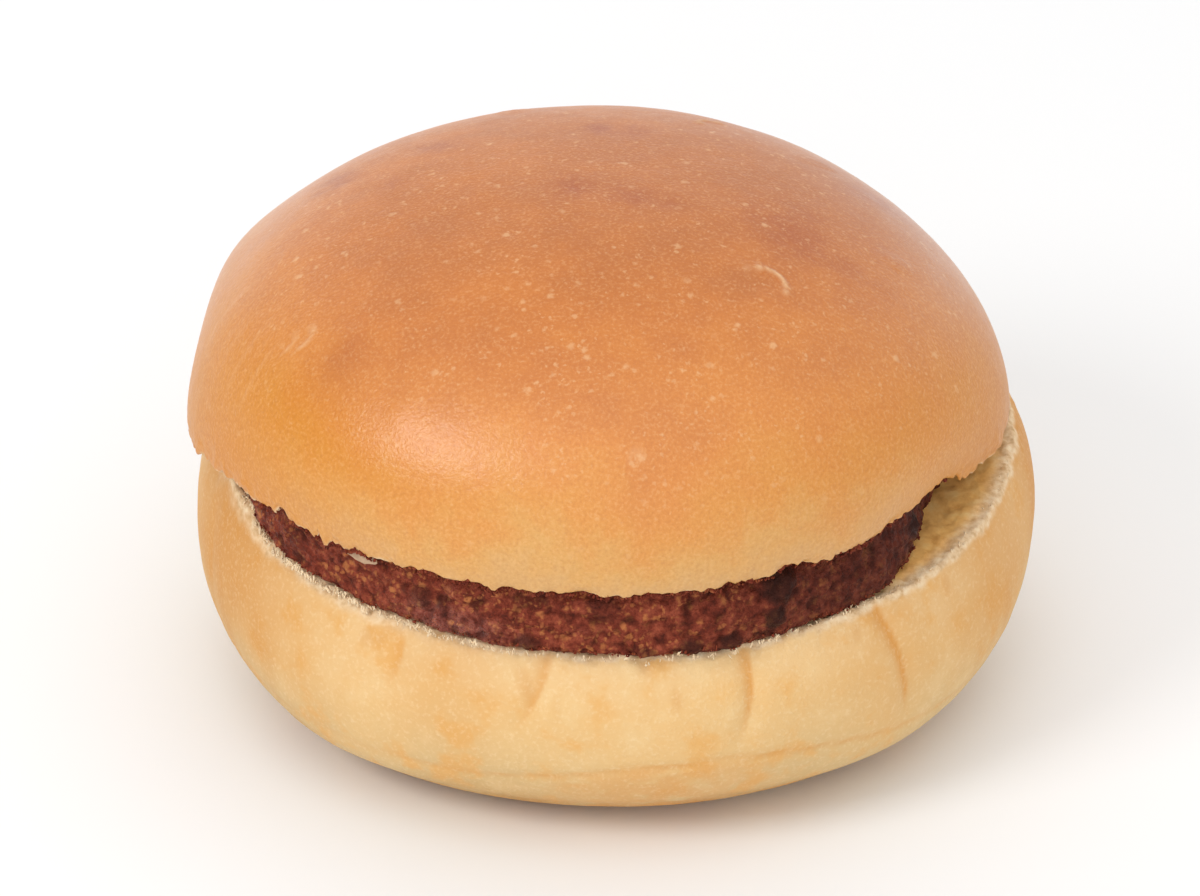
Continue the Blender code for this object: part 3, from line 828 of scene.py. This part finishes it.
def ramp_node(tree, value, stops):
    node = tree.nodes.new("ShaderNodeValToRGB")
    ramp = node.color_ramp
    while len(ramp.elements) < len(stops):
        ramp.elements.new(0.5)
    for element, (position, colour) in zip(ramp.elements, stops):
        element.position = position
        element.color = (*colour, 1.0)
    tree.links.new(value, node.inputs["Fac"])
    return node.outputs["Color"]


def mix_node(tree, share, first, second):
    node = tree.nodes.new("ShaderNodeMix")
    node.data_type = "RGBA"
    for socket, value in ((node.inputs[0], share), (node.inputs[6], first), (node.inputs[7], second)):
        if isinstance(value, tuple):
            socket.default_value = (*value, 1.0)
        elif isinstance(value, (int, float)):
            socket.default_value = value
        else:
            tree.links.new(value, socket)
    return node.outputs[2]


def tint_node(tree, colour, tone, most, tint):
    """The colour, mixed with the tint by up to this much where the piece's named tone is 1."""
    return mix_node(tree, sum_node(tree, "MULTIPLY", tone_node(tree, tone), most), colour, tint)


def bump_node(tree, height, depth, before=None):
    node = tree.nodes.new("ShaderNodeBump")
    node.inputs["Strength"].default_value = 1.0
    node.inputs["Distance"].default_value = depth
    tree.links.new(height, node.inputs["Height"])
    if before is not None:
        tree.links.new(before, node.inputs["Normal"])
    return node.outputs["Normal"]


def crumb_colour(tree, place):
    """Torn bread crumb: pale cream, darker in spots that stand for the shade in its pores, as painted shade.
    """
    pores = noise_node(tree, place, 1.1 * MM, 3.0, 0.6)
    stops = ((0.30, (0.60, 0.38, 0.19)), (0.50, (0.80, 0.58, 0.35)), (0.72, (0.90, 0.73, 0.50)))
    return ramp_node(tree, pores, stops)


def crown_material():
    made, tree, shader = start_material("golden_top_crust")
    place = place_node(tree)
    drift = noise_node(tree, place, 16 * MM, 3.0)
    blotch = noise_node(tree, place, 5.5 * MM, 4.0, 0.6)
    level = sum_node(tree, "ADD", tone_node(tree, "rise"), ease_node(tree, drift, 0.3, 0.7, -0.11, 0.06))
    level = sum_node(tree, "ADD", level, ease_node(tree, blotch, 0.3, 0.7, -0.07, 0.05))
    colour = ramp_node(
        tree,
        level,
        (
            (0.00, (0.66, 0.36, 0.112)),
            (0.10, (0.69, 0.35, 0.084)),
            (0.26, (0.70, 0.280, 0.042)),
            (0.48, (0.68, 0.235, 0.034)),
            (0.76, (0.58, 0.182, 0.029)),
            (1.00, (0.49, 0.148, 0.026)),
        ),
    )
    # A deeper gold low on the sides: baking, and on the left painted shade
    low = ease_node(tree, tone_node(tree, "rise"), 0.75, 0.20)
    toast_and_shade = sum_node(tree, "MULTIPLY", tone_node(tree, "toast_and_shade"), low)
    colour = mix_node(tree, toast_and_shade, colour, (0.66, 0.250, 0.030))
    # Browner on the right of the dome: the crust's own browning, and painted shade
    colour = tint_node(tree, colour, "brown_and_shade", 0.6, (0.40, 0.115, 0.022))
    colour = tint_node(tree, colour, "rust", 0.9, (0.38, 0.080, 0.012))
    grain = noise_node(tree, place, 0.40 * MM, 3.0, 0.6)
    colour = mix_node(tree, ease_node(tree, grain, 0.48, 0.72, 0.0, 0.20), colour, (0.92, 0.56, 0.26))
    colour = mix_node(tree, ease_node(tree, grain, 0.52, 0.28, 0.0, 0.20), colour, (0.42, 0.10, 0.015))
    crowded = ease_node(tree, noise_node(tree, place, 9 * MM, 2.0), 0.35, 0.62, 0.25, 1.0)
    higher = ease_node(tree, tone_node(tree, "rise"), 0.1, 0.7, 0.35, 1.0)
    crowded = sum_node(tree, "MULTIPLY", crowded, higher)
    warped = warp_node(tree, place, 0.6 * MM, 0.9 * MM)
    specks = None
    for size, radius, strength in ((1.1 * MM, 0.24, 0.28), (1.9 * MM, 0.22, 0.34), (3.7 * MM, 0.17, 0.36)):
        layer = ease_node(tree, cell_node(tree, warped, size), radius, 0.25 * radius, 0.0, strength)
        specks = layer if specks is None else sum_node(tree, "MAXIMUM", specks, layer)
    specks = sum_node(tree, "MULTIPLY", specks, crowded)
    colour = mix_node(tree, specks, colour, (0.90, 0.60, 0.32))
    colour = tint_node(tree, colour, "bare", 0.55, (0.88, 0.60, 0.34))
    crumb = tone_node(tree, "crumb")
    colour = mix_node(tree, crumb, colour, crumb_colour(tree, place))
    tree.links.new(colour, shader.inputs["Base Color"])
    sheen = noise_node(tree, place, 2.2 * MM, 3.0)
    gloss = mix_node(tree, crumb, ease_node(tree, sheen, 0.3, 0.7, 0.42, 0.54), (0.9, 0.9, 0.9))
    tree.links.new(gloss, shader.inputs["Roughness"])
    broad = bump_node(tree, noise_node(tree, place, 1.6 * MM, 3.0, 0.6), 0.05 * MM)
    fine = bump_node(tree, grain, 0.06 * MM, broad)
    tree.links.new(bump_node(tree, specks, 0.05 * MM, fine), shader.inputs["Normal"])
    tree.links.new(fine, shader.inputs["Coat Normal"])
    coat = ease_node(tree, tone_node(tree, "rise"), 0.55, 0.95, 1.0, 0.45)
    coat = sum_node(tree, "MULTIPLY", coat, sum_node(tree, "SUBTRACT", 1.0, crumb))
    coat = sum_node(tree, "MULTIPLY", coat, ease_node(tree, toast_and_shade, 0.0, 1.0, 1.0, 0.35))
    tree.links.new(coat, shader.inputs["Coat Weight"])
    shader.inputs["Coat Roughness"].default_value = 0.32
    shader.inputs["Coat IOR"].default_value = 1.6
    shader.inputs["Specular IOR Level"].default_value = 0.08
    return made


def heel_material():
    made, tree, shader = start_material("pale_bottom_crust")
    place = place_node(tree)
    drift = noise_node(tree, place, 13 * MM, 3.0)
    level = sum_node(tree, "ADD", tone_node(tree, "rise"), ease_node(tree, drift, 0.3, 0.7, -0.10, 0.10))
    colour = ramp_node(
        tree,
        level,
        (
            (0.00, (0.52, 0.27, 0.085)),
            (0.12, (0.65, 0.42, 0.175)),
            (0.26, (0.70, 0.50, 0.245)),
            (0.50, (0.77, 0.51, 0.230)),
            (0.72, (0.80, 0.51, 0.220)),
            (0.92, (0.81, 0.54, 0.260)),
        ),
    )
    patches = noise_node(tree, place, 6 * MM, 4.0, 0.55)
    colour = mix_node(tree, ease_node(tree, patches, 0.50, 0.68, 0.0, 0.75), colour, (0.78, 0.42, 0.130))
    colour = mix_node(tree, ease_node(tree, patches, 0.48, 0.32, 0.0, 0.45), colour, (0.83, 0.60, 0.310))
    # A deeper gold towards the sides: baking, and on the left painted shade
    colour = tint_node(tree, colour, "toast_and_shade", 0.85, (0.63, 0.275, 0.062))
    colour = tint_node(tree, colour, "under", 0.60, (0.72, 0.36, 0.115))
    # Darker orange in and beside the creases and along the fold: painted shade
    colour = tint_node(tree, colour, "crease", 0.80, (0.69, 0.30, 0.060))
    grain = noise_node(tree, place, 0.5 * MM, 3.0, 0.6)
    colour = mix_node(tree, ease_node(tree, grain, 0.48, 0.75, 0.0, 0.25), colour, (0.95, 0.76, 0.48))
    crumb = tone_node(tree, "crumb")
    colour = mix_node(tree, crumb, colour, crumb_colour(tree, place))
    # Deep in the cut face the crumb is a saturated gold: painted warm light that bounces inside the crumb
    fibres = noise_node(tree, place, 2.2 * MM, 4.0, 0.65)
    stops = ((0.3, (0.72, 0.36, 0.10)), (0.5, (0.88, 0.49, 0.15)), (0.7, (0.93, 0.60, 0.23)))
    colour = mix_node(tree, tone_node(tree, "inside"), colour, ramp_node(tree, fibres, stops))
    tree.links.new(colour, shader.inputs["Base Color"])
    tree.links.new(mix_node(tree, crumb, (0.55, 0.55, 0.55), (0.92, 0.92, 0.92)), shader.inputs["Roughness"])
    normal = bump_node(tree, noise_node(tree, place, 2.0 * MM, 3.0, 0.6), 0.10 * MM)
    normal = bump_node(tree, grain, 0.07 * MM, normal)
    tree.links.new(normal, shader.inputs["Normal"])
    shader.inputs["Specular IOR Level"].default_value = 0.12
    return made


def patty_material():
    made, tree, shader = start_material("grilled_mince")
    place = place_node(tree)
    grain = tone_node(tree, "grain")
    char_and_shade = tone_node(tree, "char_and_shade")
    mottle = noise_node(tree, place, 1.3 * MM, 4.0, 0.7)
    stops = ((0.30, (0.065, 0.011, 0.006)), (0.48, (0.190, 0.032, 0.016)), (0.70, (0.37, 0.085, 0.042)))
    colour = ramp_node(tree, mottle, stops)
    present = ease_node(tree, noise_node(tree, place, 2.6 * MM, 2.0), 0.40, 0.58)
    # Fewer fat specks at the right end, inside its painted shade
    fat_outside_shade = ease_node(tree, tone_node(tree, "fat_outside_shade"), 0.0, 1.0, 0.5, 1.0)
    present = sum_node(tree, "MULTIPLY", present, fat_outside_shade)
    warped = warp_node(tree, place, 0.7 * MM, 1.0 * MM)
    for size, radius, strength in ((0.75 * MM, 0.42, 0.62), (1.5 * MM, 0.40, 0.80)):
        fat = ease_node(tree, cell_node(tree, warped, size), radius, 0.4 * radius, 0.0, strength)
        colour = mix_node(tree, sum_node(tree, "MULTIPLY", fat, present), colour, (0.52, 0.180, 0.058))
    # Dark in the gaps between the grains: painted shade in the hollows
    gaps = ease_node(tree, grain, 0.55, 0.90, 0.0, 0.7)
    colour = mix_node(tree, gaps, colour, (0.045, 0.008, 0.004))
    # Near black where charred, and at the right end as painted shade
    colour = mix_node(tree, sum_node(tree, "MULTIPLY", char_and_shade, 0.88), colour, (0.026, 0.008, 0.005))
    tree.links.new(colour, shader.inputs["Base Color"])
    wet = sum_node(tree, "MULTIPLY", tone_node(tree, "greasy"), ease_node(tree, mottle, 0.35, 0.6, 0.3, 1.0))
    tree.links.new(ease_node(tree, wet, 0.0, 1.0, 0.50, 0.20), shader.inputs["Roughness"])
    tree.links.new(ease_node(tree, wet, 0.0, 1.0, 0.10, 0.50), shader.inputs["Specular IOR Level"])
    normal = bump_node(tree, noise_node(tree, place, 0.7 * MM, 4.0, 0.7), 0.30 * MM)
    normal = bump_node(tree, cell_node(tree, warped, 0.5 * MM), 0.14 * MM, normal)
    tree.links.new(normal, shader.inputs["Normal"])
    return made


def crumb_material():
    made, tree, shader = start_material("torn_crumb")
    place = place_node(tree)
    # Paler than the crumb elsewhere: its own pale cream, lightened against the shade it sits in as painted
    # light
    pale = mix_node(tree, 0.5, crumb_colour(tree, place), (0.92, 0.74, 0.50))
    tree.links.new(pale, shader.inputs["Base Color"])
    normal = bump_node(tree, noise_node(tree, place, 0.4 * MM, 3.0), 0.12 * MM)
    tree.links.new(normal, shader.inputs["Normal"])
    shader.inputs["Roughness"].default_value = 0.9
    shader.inputs["Specular IOR Level"].default_value = 0.25
    return made


def flake_material():
    made, tree, shader = start_material("dry_flake")
    thin = noise_node(tree, place_node(tree), 0.9 * MM, 3.0)
    colour = ramp_node(tree, thin, ((0.3, (0.38, 0.23, 0.13)), (0.7, (0.54, 0.35, 0.21))))
    tree.links.new(colour, shader.inputs["Base Color"])
    shader.inputs["Roughness"].default_value = 0.5
    return made


# The pieces


def make_heel():
    piece = turned("roll_bottom", heel_rings(), ROLL_SIDES)
    sculpted(piece, heel_place, ("rise", "crumb", "crease", "toast_and_shade", "under", "inside"))
    end_piece(piece, heel_material(), "pale_crust", "bun_heel")


def make_patty():
    piece = turned("meat_patty", patty_rings(), PATTY_SIDES)
    sculpted(piece, patty_place, ("grain", "char_and_shade", "greasy", "fat_outside_shade"))
    look = patty_material()
    end_piece(piece, look, "grilled_meat", "patty")
    make_crags(look)


def make_crown():
    piece = turned("roll_top", crown_rings(), ROLL_SIDES)
    sculpted(piece, crown_place, ("rise", "crumb", "rust", "brown_and_shade", "bare", "toast_and_shade"))
    end_piece(piece, crown_material(), "golden_crust", "bun_crown")


def make_crumbs():
    """Shreds of crumb that stand up along the torn rim of the lower half."""
    chance = np.random.default_rng(7)
    degrees = chance.uniform(*CRUMB_SWEEP, CRUMB_TRIES)
    left = hump(degrees - CRUMB_MOST, CRUMB_MOST_WIDTH)
    clumps = uneven(degrees, 0, 0, 1.7, 92) + 0.6 * uneven(degrees, 0, 0, 0.7, 93)
    clumps = smooth_step(-0.15, 0.35, clumps)
    kept = 0.06 + 0.50 * clumps * smooth_step(326, 314, degrees) + 0.44 * left
    degrees = degrees[chance.random(CRUMB_TRIES) < kept]
    left = hump(degrees - CRUMB_MOST, CRUMB_MOST_WIDTH)
    rim = places_round(heel_place, degrees, HEEL_RIM_RADIUS - 0.35 * MM, CUT_HEIGHT)
    count = len(rim)
    away = rim[:, :2] / np.linalg.norm(rim[:, :2], axis=1)[:, None]
    inwards = chance.uniform(-0.45, 0.55, count) + 0.9 * left * chance.random(count)
    rim[:, :2] -= away * (inwards * MM)[:, None]
    from_patty = rim[:, :2] - PATTY_CENTRE
    distance = np.linalg.norm(from_patty, axis=1)
    behind = np.degrees(np.arctan2(from_patty[:, 1], from_patty[:, 0]))
    foot = places_round(patty_place, behind, PATTY_RADIUS, PATTY_FOOT_ROUND)
    reach = np.linalg.norm(foot[:, :2] - PATTY_CENTRE, axis=1) + chance.uniform(-0.05, 0.15, count) * MM
    rim[:, :2] += from_patty * (np.maximum(reach - distance, 0) / distance)[:, None]
    in_front = np.where(reach > distance, 0.22, 0.0)
    rim[:, 2] += (chance.uniform(-0.30, 0.30, count) + in_front) * MM
    sizes = (0.035 + 0.09 * chance.random(count) ** 2) * (1 + 0.4 * left) * MM
    end_piece(shreds("rim_crumbs", rim, sizes, 3.0, 0.45, 11), crumb_material(), "pale_crust")


def make_crags(look):
    """Crags of mince that stick out of the patty over the torn rims above and below it."""
    chance = np.random.default_rng(17)
    degrees = chance.uniform(214, 334, RIM_CRAGS)
    over = places_round(crown_place, degrees, CROWN_RIM_RADIUS, 0.25 * MM)
    clumps = smooth_step(-0.1, 0.45, uneven(over[:, 0], over[:, 1], 0, 2.4 * MM, 91))
    away = over[:, :2] / np.linalg.norm(over[:, :2], axis=1)[:, None]
    over[:, :2] -= away * (chance.uniform(0.03, 0.40, RIM_CRAGS) * MM)[:, None]
    over[:, 2] += (chance.uniform(-0.45, 0.05, RIM_CRAGS) + 0.35 * clumps * chance.random(RIM_CRAGS)) * MM
    degrees = chance.uniform(203, 334, FOOT_CRAGS)
    foot = places_round(patty_place, degrees, PATTY_RADIUS, PATTY_FOOT_ROUND)
    foot[:, 2] += chance.uniform(-0.15, 0.4, FOOT_CRAGS) * MM
    over_sizes = chance.uniform(0.07, 0.16, RIM_CRAGS) + 0.12 * clumps
    foot_sizes = chance.uniform(0.06, 0.17, FOOT_CRAGS)
    places, sizes = np.concatenate([over, foot]), np.concatenate([over_sizes, foot_sizes]) * MM
    end_piece(shreds("mince_crags", places, sizes, 1.4, 0.45, 19), look, "grilled_meat")


def make_flake():
    """A dry flake of crust that hangs from the upper half's rim, left of the front."""
    bpy.ops.object.select_all(action="DESELECT")
    bpy.ops.mesh.primitive_uv_sphere_add(segments=24, ring_count=12, radius=1)
    piece = start_piece("crust_flake")
    bpy.ops.transform.resize(value=FLAKE_HALF_SIZE, center_override=(0, 0, 0))
    bpy.ops.object.mode_set(mode="OBJECT")
    sculpted(piece, flake_place, ())
    end_piece(piece, flake_material(), "golden_crust")


def flake_place(x, y, z):
    """Sets the flake flat against the rim, with an uneven outline."""
    grown = 1 + 0.35 * uneven(x, 0, z, 1.1 * MM, 81)
    turn = math.radians(FLAKE_DEGREES + 90)
    out = FLAKE_OUT + y + 0.12 * MM * uneven(x, 0, z, 0.8 * MM, 82)
    along = x * grown
    new_x = CROWN_CENTRE[0] + out * math.sin(turn) + along * math.cos(turn)
    new_y = CROWN_CENTRE[1] - out * math.cos(turn) + along * math.sin(turn)
    return (new_x, new_y, z * grown + FLAKE_HEIGHT - 0.02 * along), ()


# Floor, light and camera


def make_floor():
    bpy.ops.object.select_all(action="DESELECT")
    bpy.ops.mesh.primitive_plane_add(size=6, location=(0, 0, 0))
    floor = bpy.context.object
    floor.name = "floor"
    made, tree, shader = start_material("white_table")
    cloudy = noise_node(tree, place_node(tree), 0.5, 2.0)
    white = ramp_node(tree, cloudy, ((0.0, (0.90, 0.90, 0.90)), (1.0, (0.92, 0.92, 0.92))))
    tree.links.new(white, shader.inputs["Base Color"])
    shader.inputs["Roughness"].default_value = 0.9
    shader.inputs["Specular IOR Level"].default_value = 0.1
    floor.data.materials.append(made)


def aim(obj, target):
    obj.rotation_euler = (Vector(target) - obj.location).to_track_quat("-Z", "Y").to_euler()


def make_lamp():
    bpy.ops.object.light_add(type="AREA", location=LAMP_PLACE)
    lamp = bpy.context.object
    lamp.name = "window_light"
    lamp.data.shape = "DISK"
    lamp.data.size = LAMP_SIZE
    lamp.data.energy = LAMP_POWER
    aim(lamp, (0, 0, 35 * MM))


def make_camera():
    """The camera stands about 30 degrees above the table and 1.1 m away, as the photograph's did."""
    level, up = math.cos(CAMERA_RISE), math.sin(CAMERA_RISE)
    middle = Vector((-AIM_LEFT, -AIM_LOWER * up, AIM_HEIGHT - AIM_LOWER * level))
    bpy.ops.object.camera_add(location=middle + CAMERA_DISTANCE * Vector((0, -level, up)))
    camera = bpy.context.object
    camera.name = "camera"
    camera.data.sensor_fit = "HORIZONTAL"
    camera.data.sensor_width = 36
    camera.data.lens = CAMERA_LENS
    camera.data.clip_start = 0.05
    aim(camera, middle)
    bpy.context.scene.camera = camera


def make_room():
    """A white studio that is darker towards its sides, and not by quite the same on both."""
    world = bpy.data.worlds.new("studio")
    world.use_nodes = True
    tree = world.node_tree
    tree.nodes["Background"].inputs["Color"].default_value = (1.0, 1.0, 1.0, 1.0)
    split = tree.nodes.new("ShaderNodeSeparateXYZ")
    tree.links.new(tree.nodes.new("ShaderNodeNewGeometry").outputs["Incoming"], split.inputs[0])
    sideways = sum_node(tree, "MULTIPLY", split.outputs["X"], split.outputs["X"])
    tilt = sum_node(tree, "MULTIPLY", split.outputs["X"], SIDE_SHADE_DIFFERENCE)
    shade = sum_node(tree, "MULTIPLY", sideways, sum_node(tree, "ADD", tilt, SIDE_SHADE))
    strength = sum_node(tree, "SUBTRACT", ROOM_BRIGHTNESS, shade)
    tree.links.new(strength, tree.nodes["Background"].inputs["Strength"])
    bpy.context.scene.world = world
    bpy.context.scene.view_settings.view_transform = "Standard"


make_heel()
make_patty()
make_crown()
make_crumbs()
make_flake()
make_floor()
make_room()
make_lamp()
make_camera()
